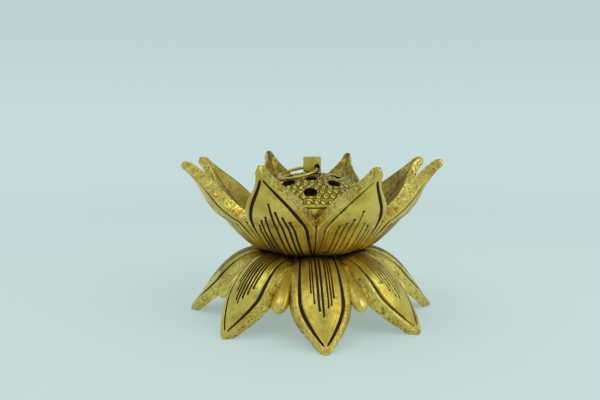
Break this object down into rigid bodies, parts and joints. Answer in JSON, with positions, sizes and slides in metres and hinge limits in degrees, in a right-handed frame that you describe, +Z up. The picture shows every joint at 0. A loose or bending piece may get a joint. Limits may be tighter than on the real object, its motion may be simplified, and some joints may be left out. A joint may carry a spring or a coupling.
{
  "type": "dhoop burner",
  "caption": "Brass lotus dhoop burner: an open petal cup on an upturned petal base, with an inner bowl and a pierced domed lid with a knob and ring.",
  "frame": {"origin": "on the floor under the centre of the base, at the bottom centre of the box", "axes": "+Z up along the lotus axis, the pictured front towards -Y, +X to its right"},
  "size_m": [0.1166, 0.1206, 0.0741],
  "materials": {
    "lotus_brass": "cast, filed and brushed, dark patina in the grooves",
    "bowl_brass": "turned and lightly polished",
    "lid_brass": "punched with rings, dark patina between them",
    "knob_brass": "turned, worn",
    "ring_brass": "drawn wire, worn",
    "fastener_brass": "plain, dulled"
  },
  "bodies": {
    "stand": {"base_lotus": "lotus_brass", "cup_lotus": "lotus_brass", "dhoop_bowl": "bowl_brass", "centre_screw": "fastener_brass", "base_washer": "fastener_brass", "base_nut": "fastener_brass"},
    "lid": {"lid_dome": "lid_brass", "lid_knob": "knob_brass", "knob_washer": "fastener_brass", "knob_nut": "fastener_brass"},
    "ring": {"lid_ring": "ring_brass"}
  },
  "joints": [
    {"name": "lid_lift", "type": "slide", "parent": "stand", "child": "lid", "axis": [0, 0, 1], "range_m": [0, 0.05]},
    {"name": "ring_swing", "type": "hinge", "parent": "lid", "child": "ring", "pos_m": [0, 0, 0.06735], "axis": [-0.5, 0.866, 0], "range_deg": [0, 209]}
  ]
}
